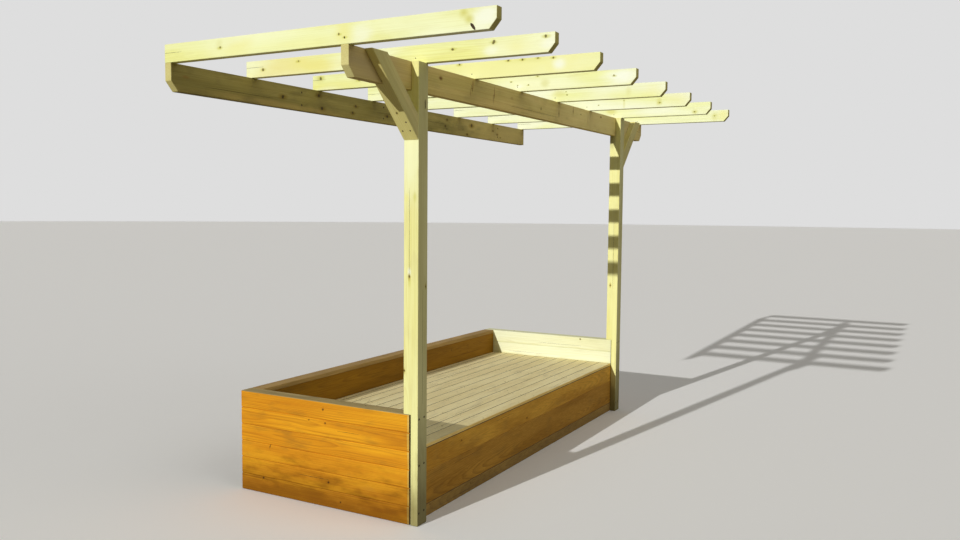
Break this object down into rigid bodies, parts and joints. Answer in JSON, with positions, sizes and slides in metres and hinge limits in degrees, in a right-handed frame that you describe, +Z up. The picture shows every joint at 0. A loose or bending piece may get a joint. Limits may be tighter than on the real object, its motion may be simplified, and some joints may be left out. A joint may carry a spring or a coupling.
{
  "type": "garden pergola",
  "caption": "Open timber pergola: rafters on two beams, notched posts with braces, over a raised boxed deck.",
  "frame": {"origin": "middle of the bounding box's bottom, on the ground the posts and the deck box stand on", "axes": "+Z up, X along the beams with the near post at -X, -Y towards the open front, +Y the back"},
  "size_m": [4.2, 1.965, 2.52],
  "materials": {
    "post": "planed pale treated pine with knots and fine checks, weathered matt",
    "beam": "planed treated pine with knots, weathered matt",
    "brace": "planed treated pine, weathered matt",
    "rafter": "planed pale green treated pine with knots, weathered matt",
    "end_timber": "rounded-edge treated timber, weathered matt",
    "brown_board": "brown treated pine boards, damp-stained matt",
    "cap": "weathered treated pine, matt",
    "joist": "sawn treated pine, matt",
    "deck_board": "weathered greyish pine deck boards, matt"
  },
  "bodies": {
    "root": {"near_post": "post", "far_post": "post", "front_beam": "beam", "wall_beam": "beam", "near_brace": "brace", "far_brace": "brace", "rafter_1": "rafter", "rafter_2": "rafter", "rafter_3": "rafter", "rafter_4": "rafter", "rafter_5": "rafter", "rafter_6": "rafter", "rafter_7": "rafter", "rafter_8": "rafter", "near_end_timber_1": "end_timber", "far_end_timber_1": "end_timber", "near_end_timber_2": "end_timber", "far_end_timber_2": "end_timber", "near_end_timber_3": "end_timber", "far_end_timber_3": "end_timber", "near_end_timber_4": "end_timber", "far_end_timber_4": "end_timber", "near_end_timber_5": "end_timber", "far_end_timber_5": "end_timber", "near_end_timber_6": "end_timber", "far_end_timber_6": "end_timber", "front_board_1": "brown_board", "back_board_1": "brown_board", "front_board_2": "brown_board", "back_board_2": "brown_board", "front_board_3": "brown_board", "back_board_3": "brown_board", "back_cap": "cap", "joist_1": "joist", "joist_2": "joist", "joist_3": "joist", "joist_4": "joist", "joist_5": "joist", "deck_board_1": "deck_board", "deck_board_2": "deck_board", "deck_board_3": "deck_board", "deck_board_4": "deck_board", "deck_board_5": "deck_board", "deck_board_6": "deck_board", "deck_board_7": "deck_board", "deck_board_8": "deck_board", "deck_board_9": "deck_board", "deck_board_10": "deck_board", "deck_board_11": "deck_board", "deck_board_12": "deck_board"}
  },
  "joints": []
}
